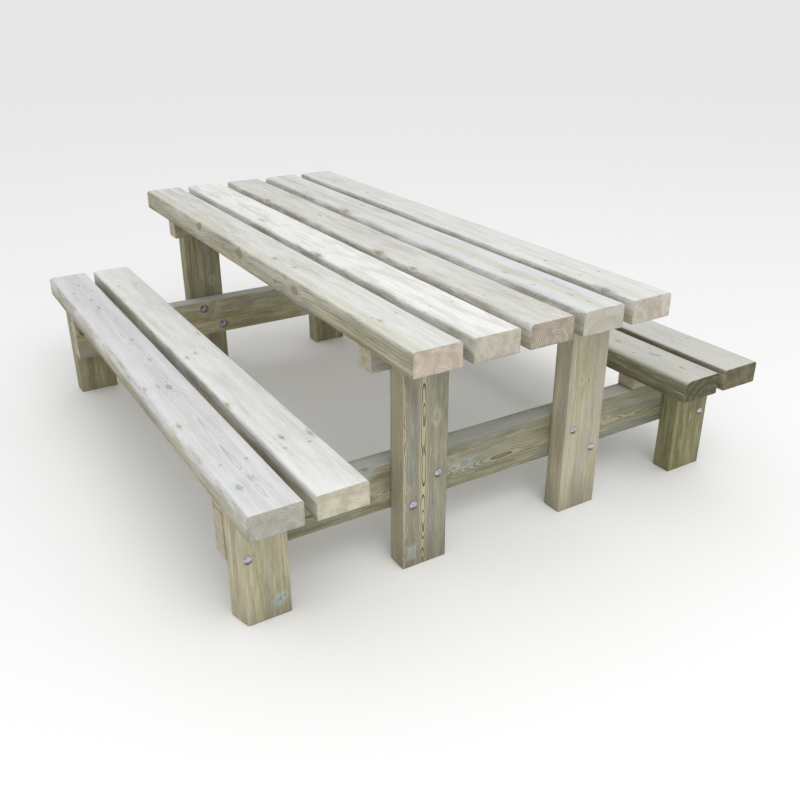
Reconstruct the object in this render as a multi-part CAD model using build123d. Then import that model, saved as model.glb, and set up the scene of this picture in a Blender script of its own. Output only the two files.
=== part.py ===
from build123d import *
import math
import os

# Walk-in picnic table of heavy planed timber. Two end frames carry five table boards and two
# benches of two boards each. Each frame is a low cross rail with two table legs and two bench
# legs bolted to its outer face, a bearer under the table boards and a packer under each bench.
#
# Axes: X runs across the table, from the left bench to the right bench, Y runs along the
# boards and Z is up. The origin is on the ground, in the middle of the table. The front end is
# -Y and the rear end is +Y. All sizes are in millimetres.

# ---- Timber ----------------------------------------------------------------------------------
TIMBER_WIDTH = 145          # boards, legs and rails are all planed 145 x 70
TIMBER_THICKNESS = 70
BEARER_SIZE = 70            # square bearer under the table boards
PACKER_HEIGHT = 45          # block between the rail and the seat boards
BOARD_ROUND = 8             # rounded upper long edges of the boards
ARRIS = 3                   # eased long edges everywhere else

# ---- Overall layout --------------------------------------------------------------------------
TABLE_LENGTH = 2080
TABLE_HEIGHT = 735
SEAT_HEIGHT = 430
TABLE_BOARDS = 5
TABLE_GAP = 32              # gap between table boards
SEAT_GAP = 30               # gap between the two boards of a bench
SEAT_OUTER_EDGE = 866       # from the middle of the table to a bench's outer edge
LEG_SETBACK = 150           # from the board ends to the outer face of the legs
TABLE_LEG_OUTER = 360       # from the middle to the outer edge of a table leg
BENCH_LEG_OUTER = 850       # from the middle to the outer edge of a bench leg
BEARER_LENGTH = 828
PACKER_LENGTH = 289

# ---- Frame bolts: M10 cup square bolts, 140 long, with washers and nuts ------------------------
BOLT_RADIUS = 5
BOLT_LENGTH = 140
BOLT_HOLE_RADIUS = 5.5
BOLT_HEAD_RADIUS = 12.3
BOLT_HEAD_HEIGHT = 5.4
NECK_SIZE = 10              # square neck under the head
NECK_DEPTH = 6
NECK_CLEARANCE = 0.2
BOLT_SPREAD = 40            # from the middle of the leg to each of its rail bolts
LOWER_BOLT = 35             # from the rail's lower edge up to the lower bolts
UPPER_BOLT = 30             # from the rail's upper edge down to the upper bolts
WASHER_RADIUS = 15
WASHER_THICKNESS = 2.5
NUT_ACROSS_FLATS = 17
NUT_THICKNESS = 8.4
NUT_CHAMFER = 1.2           # how far down its sides a nut's corners are turned
NUT_CLEARANCE = 0.1         # between the bolt and its nut and washer
RECESS_RADIUS = 19          # round recess that keeps the nut below the timber's face
RECESS_DEPTH = 15

# ---- Board screws: 6 mm countersunk timber screws, driven just below the surface -----------------
SCREW_RADIUS = 3
SCREW_HEAD_RADIUS = 6
SCREW_HEAD_RIM = 1
SCREW_CONE = 3.5            # height of the cone under the head
SCREW_TIP = 8
SCREW_SINK = 1              # depth of the head's top below the board's surface
SCREW_SPREAD = 35           # screw's distance from the middle of its board
SCREW_CLEARANCE = 0.1
TABLE_SCREW_LENGTH = 120
SEAT_SCREW_LENGTH = 160

# ---- Places worked out from the dimensions above -----------------------------------------------
OVERRUN = 1                 # how far a cutting tool runs past the face it opens
BOARD_UNDERSIDE = TABLE_HEIGHT - TIMBER_THICKNESS
SEAT_UNDERSIDE = SEAT_HEIGHT - TIMBER_THICKNESS
RAIL_TOP = SEAT_UNDERSIDE - PACKER_HEIGHT
RAIL_BOTTOM = RAIL_TOP - TIMBER_WIDTH
RAIL_MIDDLE = (RAIL_TOP + RAIL_BOTTOM) / 2
BEARER_MIDDLE = BOARD_UNDERSIDE - BEARER_SIZE / 2
LEG_FACE = TABLE_LENGTH / 2 - LEG_SETBACK           # outer faces of the legs, along Y
LEG_MIDDLE = LEG_FACE - TIMBER_THICKNESS / 2
RAIL_FACE = LEG_FACE - TIMBER_THICKNESS             # where the legs meet the rail
RAIL_LINE = RAIL_FACE - TIMBER_THICKNESS / 2        # middle line of the rail and bearer
TABLE_LEG_X = TABLE_LEG_OUTER - TIMBER_WIDTH / 2
BENCH_LEG_X = BENCH_LEG_OUTER - TIMBER_WIDTH / 2
PACKER_X = BENCH_LEG_OUTER - PACKER_LENGTH / 2
SEAT_OUTER_X = SEAT_OUTER_EDGE - TIMBER_WIDTH / 2
SEAT_INNER_X = SEAT_OUTER_X - TIMBER_WIDTH - SEAT_GAP
TABLE_PITCH = TIMBER_WIDTH + TABLE_GAP
TABLE_BOARD_X = [(i - (TABLE_BOARDS - 1) / 2) * TABLE_PITCH for i in range(TABLE_BOARDS)]

SIDES = {"left": -1, "right": 1}
ENDS = {"front": -1, "rear": 1}


def timber(size, centre, edge_axis):
    """A planed length of timber with its long edges eased."""
    block = Box(*size)
    block = fillet(block.edges().filter_by(edge_axis), ARRIS)
    return Pos(*centre) * block


def turned(points):
    """A solid of revolution about Z from an outline of (radius, height) points."""
    return revolve(Plane.XZ * make_face(Polyline(*points, close=True)), Axis.Z)


def across(end, x, z):
    """The place of a bolt's head face: local +Z points out of the table's end."""
    return Location((x, end * LEG_FACE, z), (-90 * end, 0, 0))


# ---- Fasteners, each about its own origin --------------------------------------------------------

def make_bolt():
    """Cup square bolt: domed head above the origin, square neck and shank below it."""
    dome_radius = (BOLT_HEAD_RADIUS**2 + BOLT_HEAD_HEIGHT**2) / (2 * BOLT_HEAD_HEIGHT)
    head = Pos(0, 0, BOLT_HEAD_HEIGHT - dome_radius) * Sphere(dome_radius)
    head &= Pos(0, 0, BOLT_HEAD_HEIGHT / 2) * Cylinder(dome_radius, BOLT_HEAD_HEIGHT)
    neck = Pos(0, 0, -NECK_DEPTH / 2) * Box(NECK_SIZE, NECK_SIZE, NECK_DEPTH)
    shank = Pos(0, 0, -BOLT_LENGTH / 2) * Cylinder(BOLT_RADIUS, BOLT_LENGTH)
    return head + neck + shank


def make_washer():
    """Wide flat washer that sits on the floor of the nut recess."""
    seat = 2 * TIMBER_THICKNESS - RECESS_DEPTH
    ring = Cylinder(WASHER_RADIUS, WASHER_THICKNESS)
    ring -= Cylinder(BOLT_RADIUS + NUT_CLEARANCE, WASHER_THICKNESS)
    return Pos(0, 0, -seat - WASHER_THICKNESS / 2) * ring


def make_nut():
    """Hexagon nut under the washer, with its outer corners turned down."""
    top = -(2 * TIMBER_THICKNESS - RECESS_DEPTH + WASHER_THICKNESS)
    flats = NUT_ACROSS_FLATS / 2
    corners = flats / math.cos(math.pi / 6)
    hexagon = extrude(RegularPolygon(flats, 6, major_radius=False), -NUT_THICKNESS)
    turned_down = turned([
        (0, 0),
        (corners, 0),
        (corners, -NUT_THICKNESS + NUT_CHAMFER),
        (flats, -NUT_THICKNESS),
        (0, -NUT_THICKNESS),
    ])
    bore = Pos(0, 0, -NUT_THICKNESS / 2) * Cylinder(BOLT_RADIUS + NUT_CLEARANCE, NUT_THICKNESS)
    return Pos(0, 0, top) * ((hexagon & turned_down) - bore)


def make_bolt_hole():
    """Hole for one bolt through a leg and the timber behind it, with its nut recess."""
    through = 2 * TIMBER_THICKNESS
    pocket = NECK_SIZE + 2 * NECK_CLEARANCE
    depth = NECK_DEPTH + NECK_CLEARANCE
    hole = Pos(0, 0, -through / 2) * Cylinder(BOLT_HOLE_RADIUS, through + 2 * OVERRUN)
    hole += Pos(0, 0, (OVERRUN - depth) / 2) * Box(pocket, pocket, depth + OVERRUN)
    recess = RECESS_DEPTH + OVERRUN
    hole += Pos(0, 0, -through - OVERRUN + recess / 2) * Cylinder(RECESS_RADIUS, recess)
    return hole


def screw_outline(length, gap, mouth):
    """Half outline of a countersunk screw, widened by a gap and opened upwards by a mouth."""
    return [
        (0, mouth),
        (SCREW_HEAD_RADIUS + gap, mouth),
        (SCREW_HEAD_RADIUS + gap, -SCREW_HEAD_RIM),
        (SCREW_RADIUS + gap, -SCREW_HEAD_RIM - SCREW_CONE),
        (SCREW_RADIUS + gap, -length + SCREW_TIP),
        (0, -length - gap),
    ]


def make_screw(length):
    return turned(screw_outline(length, 0, 0))


def make_screw_hole(length):
    return turned(screw_outline(length, SCREW_CLEARANCE, SCREW_SINK + OVERRUN))


# ---- Where the fasteners go ------------------------------------------------------------------------

def bolt_places(end):
    """(x, z) of every bolt in one end frame. At the front the upper bolt of each leg is on the
    leg's inboard side, and at the rear it is on the outboard side."""
    upper = BOLT_SPREAD * end
    places = []
    for side in SIDES.values():
        for leg_x in (TABLE_LEG_X, BENCH_LEG_X):
            places.append((side * (leg_x + upper), RAIL_TOP - UPPER_BOLT))
            places.append((side * (leg_x - upper), RAIL_BOTTOM + LOWER_BOLT))
        places.append((side * TABLE_LEG_X, BEARER_MIDDLE))
    return places


def screw_places(board_x, end):
    return [(board_x + step, end * RAIL_LINE) for step in (-SCREW_SPREAD, SCREW_SPREAD)]


SEAT_BOARD_X = [side * x for side in SIDES.values() for x in (SEAT_INNER_X, SEAT_OUTER_X)]

BOLT_HOLE = make_bolt_hole()
TABLE_SCREW_HOLE = make_screw_hole(TABLE_SCREW_LENGTH)
SEAT_SCREW_HOLE = make_screw_hole(SEAT_SCREW_LENGTH)


def bolt_holes(end, low_x, high_x, low_z, high_z):
    """The bolt holes of one frame whose axes pass inside a rectangle."""
    return [
        across(end, x, z) * BOLT_HOLE
        for x, z in bolt_places(end)
        if low_x < x < high_x and low_z < z < high_z
    ]


def screw_holes(board_xs, end, top, hole):
    head = top - SCREW_SINK
    return [Pos(x, y, head) * hole for board_x in board_xs for x, y in screw_places(board_x, end)]


# ---- Timber pieces -----------------------------------------------------------------------------------

def make_board(x, top, screw_hole):
    """Table or seat board: upper long edges well rounded, lower ones eased."""
    board = Box(TIMBER_WIDTH, TABLE_LENGTH, TIMBER_THICKNESS)
    long_edges = board.edges().filter_by(Axis.Y).sort_by(Axis.Z)
    board = fillet(long_edges[2:], BOARD_ROUND)
    lower_edges = board.edges().filter_by(Axis.Y).sort_by(Axis.Z)[:2]
    board = fillet(lower_edges, ARRIS)
    board = Pos(x, 0, top - TIMBER_THICKNESS / 2) * board
    for end in ENDS.values():
        board -= screw_holes([x], end, top, screw_hole)
    return board


def make_leg(x, end, height):
    size = (TIMBER_WIDTH, TIMBER_THICKNESS, height)
    leg = timber(size, (x, end * LEG_MIDDLE, height / 2), Axis.Z)
    half = TIMBER_WIDTH / 2
    return leg - bolt_holes(end, x - half, x + half, 0, TABLE_HEIGHT)


def make_rail(end):
    length = 2 * BENCH_LEG_OUTER
    size = (length, TIMBER_THICKNESS, TIMBER_WIDTH)
    rail = timber(size, (0, end * RAIL_LINE, RAIL_MIDDLE), Axis.X)
    rail -= bolt_holes(end, -length / 2, length / 2, 0, RAIL_TOP)
    return rail - screw_holes(SEAT_BOARD_X, end, SEAT_HEIGHT, SEAT_SCREW_HOLE)


def make_bearer(end):
    size = (BEARER_LENGTH, TIMBER_THICKNESS, BEARER_SIZE)
    bearer = timber(size, (0, end * RAIL_LINE, BEARER_MIDDLE), Axis.X)
    half = BEARER_LENGTH / 2
    bearer -= bolt_holes(end, -half, half, RAIL_TOP, BOARD_UNDERSIDE)
    return bearer - screw_holes(TABLE_BOARD_X, end, TABLE_HEIGHT, TABLE_SCREW_HOLE)


def make_packer(side, end):
    size = (PACKER_LENGTH, TIMBER_THICKNESS, PACKER_HEIGHT)
    centre = (side * PACKER_X, end * RAIL_LINE, RAIL_TOP + PACKER_HEIGHT / 2)
    boards = [side * SEAT_INNER_X, side * SEAT_OUTER_X]
    packer = timber(size, centre, Axis.X)
    return packer - screw_holes(boards, end, SEAT_HEIGHT, SEAT_SCREW_HOLE)


# ---- Assembly ----------------------------------------------------------------------------------------

def build_nodes():
    nodes = {}
    for number, x in enumerate(TABLE_BOARD_X, start=1):
        nodes[f"table_board_{number}"] = make_board(x, TABLE_HEIGHT, TABLE_SCREW_HOLE)
    for side_name, side in SIDES.items():
        for row, x in (("inner", SEAT_INNER_X), ("outer", SEAT_OUTER_X)):
            board = make_board(side * x, SEAT_HEIGHT, SEAT_SCREW_HOLE)
            nodes[f"{side_name}_seat_board_{row}"] = board

    bolt, washer, nut = make_bolt(), make_washer(), make_nut()
    table_screw = make_screw(TABLE_SCREW_LENGTH)
    seat_screw = make_screw(SEAT_SCREW_LENGTH)
    for end_name, end in ENDS.items():
        for side_name, side in SIDES.items():
            corner = f"{end_name}_{side_name}"
            nodes[f"{corner}_table_leg"] = make_leg(side * TABLE_LEG_X, end, BOARD_UNDERSIDE)
            nodes[f"{corner}_bench_leg"] = make_leg(side * BENCH_LEG_X, end, SEAT_UNDERSIDE)
            nodes[f"{corner}_seat_packer"] = make_packer(side, end)
        nodes[f"{end_name}_cross_rail"] = make_rail(end)
        nodes[f"{end_name}_table_bearer"] = make_bearer(end)

        joints = [across(end, x, z) for x, z in bolt_places(end)]
        for kind, fastener in (("bolts", bolt), ("washers", washer), ("nuts", nut)):
            group = [place * fastener for place in joints]
            nodes[f"{end_name}_frame_{kind}"] = Compound(children=group)
        table_group = screw_holes(TABLE_BOARD_X, end, TABLE_HEIGHT, table_screw)
        nodes[f"{end_name}_tabletop_screws"] = Compound(children=table_group)
        seat_group = screw_holes(SEAT_BOARD_X, end, SEAT_HEIGHT, seat_screw)
        nodes[f"{end_name}_seat_screws"] = Compound(children=seat_group)
    return nodes


os.makedirs("parts", exist_ok=True)
for name, shape in build_nodes().items():
    export_step(shape, f"parts/{name}.step")
    print(name, len(shape.solids()))
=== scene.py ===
import math
import random

import bmesh
import bpy
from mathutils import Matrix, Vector, noise


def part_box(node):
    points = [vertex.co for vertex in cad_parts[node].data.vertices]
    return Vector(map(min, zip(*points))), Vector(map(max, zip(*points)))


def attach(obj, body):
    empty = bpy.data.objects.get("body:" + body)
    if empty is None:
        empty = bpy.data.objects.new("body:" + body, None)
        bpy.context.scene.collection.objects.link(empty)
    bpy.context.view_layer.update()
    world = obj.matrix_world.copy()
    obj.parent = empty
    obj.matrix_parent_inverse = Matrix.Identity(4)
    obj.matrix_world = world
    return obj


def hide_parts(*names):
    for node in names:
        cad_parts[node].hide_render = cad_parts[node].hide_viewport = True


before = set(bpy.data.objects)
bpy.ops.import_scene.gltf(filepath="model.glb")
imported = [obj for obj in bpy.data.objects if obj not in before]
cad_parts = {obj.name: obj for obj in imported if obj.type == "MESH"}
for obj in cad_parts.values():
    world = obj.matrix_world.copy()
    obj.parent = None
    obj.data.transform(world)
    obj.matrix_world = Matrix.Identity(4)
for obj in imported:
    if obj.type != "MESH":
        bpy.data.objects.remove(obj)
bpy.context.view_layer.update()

# Walk-in picnic table of heavy planed timber, weathered nearly white on top. Every length of
# timber replaces its CAD node with a mesh that has worn, uneven edges and real bolt and screw
# holes, and a solid wood texture that runs through it, so that faces and ends show one grain.
#
# Places come from the CAD nodes. Sizes are in metres. A timber has its own directions: across
# its wider face, along its grain, and outwards through its thickness.

MM = 0.001

# ---- Mesh resolution ----
STEP_ALONG = 12 * MM        # distance between the cross-sections of a timber
STEP_AROUND = 11 * MM       # distance between the points on the flats of a cross-section
CORNER_STEPS = 6
WANE_FADE = 140 * MM        # how far from a sawn end the worn edges reach their full wear
END_STEPS = 3               # rings that round over the end of a timber
CAP_RINGS = (0.8, 0.55, 0.3)
ROUND_SEGMENTS = 32         # facets round a bolt head, washer or hole
NUT_SEGMENTS = 36           # facets round a nut or a screw head, six to each flat or lobe

# ---- Fastener sizes ----
BOLT_RADIUS = 5 * MM
BOLT_HOLE_RADIUS = 5.5 * MM
HEAD_RADIUS = 12.3 * MM
HEAD_HEIGHT = 5.4 * MM
HEAD_RIM = 1.1 * MM         # straight edge under the dome
NECK_SIZE = 10 * MM
NECK_DEPTH = 6 * MM
NECK_POCKET_RADIUS = 7.2 * MM
THREAD_LENGTH = 34 * MM
THREAD_PITCH = 1.5 * MM
THREAD_DEPTH = 0.5 * MM
WASHER_CHAMFER = 0.4 * MM
NUT_CHAMFER = 1.2 * MM
RECESS_RADIUS = 19 * MM
RECESS_DEPTH = 15 * MM
SCREW_RADIUS = 3 * MM
SCREW_HEAD_RADIUS = 6 * MM
SCREW_RIM = 1 * MM
SCREW_CONE = 3.5 * MM
SCREW_TIP = 8 * MM
SCREW_CLEARANCE = 0.1 * MM
SCREW_THREAD_PITCH = 3 * MM
SOCKET_RADIUS = 2.4 * MM
SOCKET_DEPTH = 2.2 * MM
SOCKET_LOBES = 6
LOBE_HEIGHT = 0.16          # as a part of the socket's radius
SCREW_THREAD_DEPTH = 0.8 * MM
HEAD_BEVEL = 0.3 * MM       # on the sharp edge of a bolt's or screw's head
DOME_STEPS = 9
NECK_TAPER = 0.96
BORE_RADIUS = BOLT_RADIUS + 0.1 * MM
ROUND_SHARP_ANGLE = 32      # degrees between faces above which an edge of a fastener is sharp
TIMBER_SHARP_ANGLE = 38

# ---- Wear of the timber ----
END_ROUND = 3 * MM          # how far the sawn ends are rounded over
PLANING_WAVE = 0.5 * MM
TORN_FIBRES = 0.25 * MM
SAW_DEPTH = 0.35 * MM
FIRST_SEED = 1.0            # each timber has its own seed, so that no two show the same grain
SEED_STEP = 3.7


# ==== Node building ====

def shade(red, green, blue):
    """A linear colour from the 0 to 255 values of its sRGB name."""
    linear = []
    for value in (red, green, blue):
        value /= 255
        linear.append(value / 12.92 if value < 0.04045 else ((value + 0.055) / 1.055) ** 2.4)
    return (*linear, 1.0)


def stained(colour, red, green, blue):
    """A colour darkened by a factor in each channel."""
    return (colour[0] * red, colour[1] * green, colour[2] * blue, 1.0)


class Net:
    """Short calls for adding nodes to one node tree. Any value may be a number or a socket."""

    def __init__(self, tree):
        self.tree = tree

    def add(self, kind, inputs=(), **settings):
        node = self.tree.nodes.new(kind)
        for name, value in settings.items():
            setattr(node, name, value)
        for key, value in dict(inputs).items():
            self.put(value, node.inputs[key])
        return node

    def put(self, value, socket):
        if isinstance(value, bpy.types.NodeSocket):
            self.tree.links.new(value, socket)
        else:
            socket.default_value = value

    def math(self, operation, a, b=0.0, clamp=False):
        inputs = {0: a, 1: b}
        return self.add("ShaderNodeMath", inputs, operation=operation, use_clamp=clamp).outputs[0]

    def chain(self, operation, values):
        total = values[0]
        for value in values[1:]:
            total = self.math(operation, total, value)
        return total

    def sum(self, *values):
        return self.chain("ADD", values)

    def times(self, *values):
        return self.chain("MULTIPLY", values)

    def largest(self, *values):
        return self.chain("MAXIMUM", values)

    def minus(self, a, b):
        return self.math("SUBTRACT", a, b)

    def vector(self, operation, a, b=(0, 0, 0)):
        node = self.add("ShaderNodeVectorMath", {0: a, 1: b}, operation=operation)
        return node.outputs["Value" if operation in ("LENGTH", "DOT_PRODUCT") else "Vector"]

    def smooth(self, value, low, high, to_low=0.0, to_high=1.0):
        inputs = {0: value, 1: low, 2: high, 3: to_low, 4: to_high}
        node = self.add("ShaderNodeMapRange", inputs, interpolation_type="SMOOTHSTEP")
        return node.outputs[0]

    def noise(self, vector, scale, detail=2.0, roughness=0.5):
        inputs = {"Vector": vector, "Scale": scale, "Detail": detail, "Roughness": roughness}
        return self.add("ShaderNodeTexNoise", inputs).outputs[0]

    def grain(self, vector, along, scale, detail, roughness):
        """Noise drawn out along the second axis, where it changes only by the factor along."""
        return self.noise(self.vector("MULTIPLY", vector, (1.0, along, 1.0)), scale, detail, roughness)

    def mix(self, factor, a, b):
        inputs = {0: factor, 6: a, 7: b}
        return self.add("ShaderNodeMix", inputs, data_type="RGBA").outputs[2]

    def tint(self, colour, stain, value, low, high, strength=1.0):
        """Mixes a stain into a colour, more and more as a value goes from low to high."""
        return self.mix(self.times(self.smooth(value, low, high), strength), colour, stain)

    def parts(self, vector):
        return self.add("ShaderNodeSeparateXYZ", {0: vector}).outputs

    def join(self, x, y, z):
        return self.add("ShaderNodeCombineXYZ", {0: x, 1: y, 2: z}).outputs[0]


def make_knot_group():
    """A knot is a rod of branch wood. Outputs: its dark core, its rim, the pale wood round it, the
    stain that it smears along the grain, and its pull on the growth rings."""
    group = bpy.data.node_groups.new("knot", "ShaderNodeTree")
    sockets = group.interface
    for name in ("Position", "Centre", "Axis"):
        sockets.new_socket(name=name, in_out="INPUT", socket_type="NodeSocketVector")
    for name in ("Radius", "Reach"):
        sockets.new_socket(name=name, in_out="INPUT", socket_type="NodeSocketFloat")
    for name in ("Core", "Rim", "Halo", "Smear", "Pull"):
        sockets.new_socket(name=name, in_out="OUTPUT", socket_type="NodeSocketFloat")
    net = Net(group)
    given = net.add("NodeGroupInput").outputs
    away = net.vector("SUBTRACT", given["Position"], given["Centre"])
    depth = net.vector("DOT_PRODUCT", away, given["Axis"])
    axial = net.add("ShaderNodeVectorMath", {0: given["Axis"], "Scale": depth}, operation="SCALE")
    aside = net.vector("SUBTRACT", away, axial.outputs[0])
    oval = net.vector("MULTIPLY", aside, (1.0, 0.62, 1.0))
    lumpy = net.noise(given["Position"], 150.0, 3.0, 0.6)
    ragged = net.noise(given["Position"], 420.0, 2.0, 0.6)
    distance = net.math("DIVIDE", net.vector("LENGTH", oval), given["Radius"])
    distance = net.sum(distance, net.times(net.minus(lumpy, 0.5), 1.5))
    distance = net.sum(distance, net.times(net.minus(ragged, 0.5), 0.7))
    buried = net.math("GREATER_THAN", net.sum(depth, given["Reach"]), 0.0)
    result = net.add("NodeGroupOutput").inputs
    net.put(net.times(net.smooth(distance, 1.05, 0.75), buried), result["Core"])
    edge = net.math("ABSOLUTE", net.minus(distance, 1.05))
    broken = net.smooth(ragged, 0.38, 0.58)
    net.put(net.times(net.smooth(edge, 0.24, 0.0), broken, buried), result["Rim"])
    net.put(net.times(net.smooth(distance, 4.5, 1.0), buried), result["Halo"])
    drawn_out = net.vector("MULTIPLY", aside, (1.3, 0.16, 1.3))
    smear = net.math("DIVIDE", net.vector("LENGTH", drawn_out), given["Radius"])
    smear = net.sum(smear, net.times(net.minus(lumpy, 0.5), 1.6))
    net.put(net.times(net.smooth(smear, 1.5, 0.2), buried), result["Smear"])
    squared = net.times(distance, distance, -0.09)
    net.put(net.times(net.math("EXPONENT", squared), buried), result["Pull"])
    return group


KNOT_GROUP = make_knot_group()


# ==== Timber descriptions ====

class Knot:
    """A knot that comes out at one point of a timber, given in millimetres from its middle."""

    def __init__(self, across, along, radius, out=1, down=0, dark=0.7, blue=0.0):
        self.across = across * MM
        self.along = along * MM
        self.radius = radius * MM
        self.out = out              # +1 on the outward or upper face, -1 on the other one
        self.down = down * MM       # how far down the timber's side it comes out
        self.dark = dark
        self.blue = blue            # how much preservative has stained it blue-green


class Figure:
    """A strip where the face nearly touches the rings, so that they show as nested tongues."""

    def __init__(self, at, width, strength, pith, ring, wander, rate, cream=0.6):
        self.at = at * MM
        self.width = width * MM
        self.strength = strength
        self.pith = pith
        self.ring = ring
        self.wander = wander
        self.rate = rate
        self.cream = cream          # how pale the early wood is between the lines


class Wood:
    """How one length of timber grew, was cut and has weathered. Its colours are given as sRGB
    values from 0 to 255."""

    def __init__(self, **given):
        self.pith = (0.0, -60.0)    # millimetres from the timber's middle, across and outwards
        self.ring = 4.2             # millimetres between growth rings
        self.wander = 2.2           # millimetres that the pith strays along the timber
        self.rate = 4.0             # how quickly it strays
        self.lines = 0.35           # strength of the late wood lines
        self.figures = ()           # strips of strong figure, each a Figure
        self.pale = (178, 173, 150)
        self.deep = (148, 144, 116)
        self.cool = (150, 152, 146)
        self.late = (112, 96, 66)
        self.streaks = 1.0          # strength of the dark fibres of the sides
        self.end = (186, 178, 164)
        self.end_lines = 0.35
        self.end_blotch = 0.6       # strength of the cloudy tone of its sawn ends
        self.end_pale = 0.18        # how far its sawn ends have bleached
        self.bleach = 0.9           # how white its upward faces have gone
        self.side_bleach = 0.3      # and how far that runs down its sides
        self.whitest = (232, 232, 227)
        self.grey = 0.3             # grey patches on the bleached face
        self.tan = 0.2              # warm streaks on the bleached face
        self.mould = (0.0, 0.0)     # dark specks on the edges: low side, high side
        self.rounds = (8.0, 8.0, 3.0, 3.0)      # corner radii, millimetres
        self.wane = (0.0, 0.0, 0.0, 0.0)        # extra unevenness of each corner
        self.slant = 0.0            # millimetres that the low side leans in at the outward face
        self.knots = ()
        self.stripe = None          # (across, half width, strength) of a yellow-green streak
        self.scuff = None           # (across, along, half width, half length) of a pale scuff
        self.__dict__.update(given)
        for name in ("pale", "deep", "cool", "late", "end", "whitest"):
            setattr(self, name, shade(*getattr(self, name)))


# ==== Timber material ====

def local_position(net, timber):
    """The shaded point from the timber's middle: (across, along, outwards) in metres."""
    position = net.add("ShaderNodeTexCoord").outputs["Object"]
    centred = net.parts(net.vector("SUBTRACT", position, tuple(timber.centre)))
    across, along, outward = (centred[axis] for axis in timber.axes)
    return net.join(across, along, net.times(outward, timber.facing))


def knot_layers(net, timber, place):
    """Every knot of the timber, as (knot, group outputs)."""
    pith_across, pith_out = (value * MM for value in timber.wood.pith)
    layers = []
    for knot in timber.wood.knots:
        height = knot.out * (timber.thickness / 2 - knot.down)
        surface = Vector((knot.across, knot.along, height))
        start = Vector((pith_across, knot.along - 12 * MM, pith_out))
        if (surface - start).length < 5 * MM:
            start.z -= 20 * MM
        axis = (surface - start).normalized()
        node = net.add("ShaderNodeGroup", node_tree=KNOT_GROUP)
        net.put(place, node.inputs["Position"])
        node.inputs["Centre"].default_value = surface
        node.inputs["Axis"].default_value = axis
        node.inputs["Radius"].default_value = knot.radius
        node.inputs["Reach"].default_value = min((surface - start).length, 40 * MM)
        layers.append((knot, node.outputs))
    return layers


def growth_rings(net, timber, place, knots, wood):
    """The late wood lines round a wandering pith. wood is a Wood or a Figure."""
    across, along, outward = net.parts(place)
    shifted = net.sum(along, timber.seed)
    drift = []
    for offset in (0.0, 31.7):
        line = net.join(offset + timber.seed, shifted, offset)
        value = net.noise(line, wood.rate, 1.0, 0.4)
        drift.append(net.times(net.minus(value, 0.5), 4 * wood.wander * MM))
    u = net.minus(net.minus(across, wood.pith[0] * MM), drift[0])
    v = net.minus(net.minus(outward, wood.pith[1] * MM), drift[1])
    radius = net.math("SQRT", net.sum(net.times(u, u), net.times(v, v)))
    wobble = net.grain(place, 0.1, 38.0, 3.0, 0.55)
    radius = net.sum(radius, net.times(net.minus(wobble, 0.5), min(0.55 * wood.ring, 3.0) * MM))
    for knot, outputs in knots:
        radius = net.sum(radius, net.times(outputs["Pull"], 0.9 * knot.radius))
    rings = net.times(radius, 1 / (wood.ring * MM))
    saw = net.math("FRACT", rings)
    rise = net.smooth(saw, 0.45, 0.93)
    fall = net.smooth(saw, 1.0, 0.95)
    number = net.math("FLOOR", rings)
    strong = net.add("ShaderNodeTexWhiteNoise", {"W": number}, noise_dimensions="1D").outputs[0]
    return net.times(rise, fall, net.smooth(strong, -0.4, 0.9))


# Noises of the wood: how much each changes along the grain, its scale, detail and roughness.
GRAIN_NOISES = {
    "fine": (0.035, 950.0, 3.0, 0.6),
    "fibre": (0.05, 260.0, 3.0, 0.6),
    "band": (0.06, 46.0, 3.0, 0.55),
    "broad": (0.14, 16.0, 2.0, 0.5),
    "patch": (0.17, 21.0, 5.0, 0.68),
    "speck": (0.55, 210.0, 4.0, 0.7),
    "fleck": (0.4, 430.0, 4.0, 0.7),
    "hair": (0.012, 480.0, 2.0, 0.6),
}


class Layers:
    """The places, directions and noises that the layers of one timber's material share."""

    def __init__(self, net, timber):
        seed = timber.seed
        self.place = local_position(net, timber)
        self.across, self.along, self.outward = net.parts(self.place)
        self.seeded = net.vector("ADD", self.place, (seed, 0.37 * seed, 0.61 * seed))
        self.knots = knot_layers(net, timber, self.place)
        self.line = growth_rings(net, timber, self.place, self.knots, timber.wood)
        normal = net.parts(net.add("ShaderNodeNewGeometry").outputs["Normal"])
        self.up = net.smooth(normal[2], 0.45, 0.97)
        self.end_grain = net.smooth(net.math("ABSOLUTE", normal[timber.axes[1]]), 0.55, 0.85)
        self.long_side = net.minus(1.0, self.end_grain)
        self.pores = net.noise(self.seeded, 700.0, 3.0, 0.65)
        for name, settings in GRAIN_NOISES.items():
            setattr(self, name, net.grain(self.seeded, *settings))


def weathered_side(net, wood, on):
    """Colour of the sides, and of whatever hasn't bleached."""
    streaks = wood.streaks
    colour = net.tint(wood.pale, wood.deep, on.band, 0.38, 0.62)
    colour = net.tint(colour, wood.cool, on.broad, 0.48, 0.62, 0.8)
    cream = net.mix(0.6, wood.pale, shade(222, 214, 186))
    colour = net.tint(colour, cream, on.fibre, 0.46, 0.3, 0.55)
    colour = net.tint(colour, wood.late, on.fibre, 0.52, 0.72, 0.42 * streaks)
    colour = net.tint(colour, wood.late, on.fine, 0.5, 0.7, 0.34 * streaks)
    return net.tint(colour, shade(92, 86, 64), on.speck, 0.56, 0.7, 0.3 * streaks)


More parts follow.
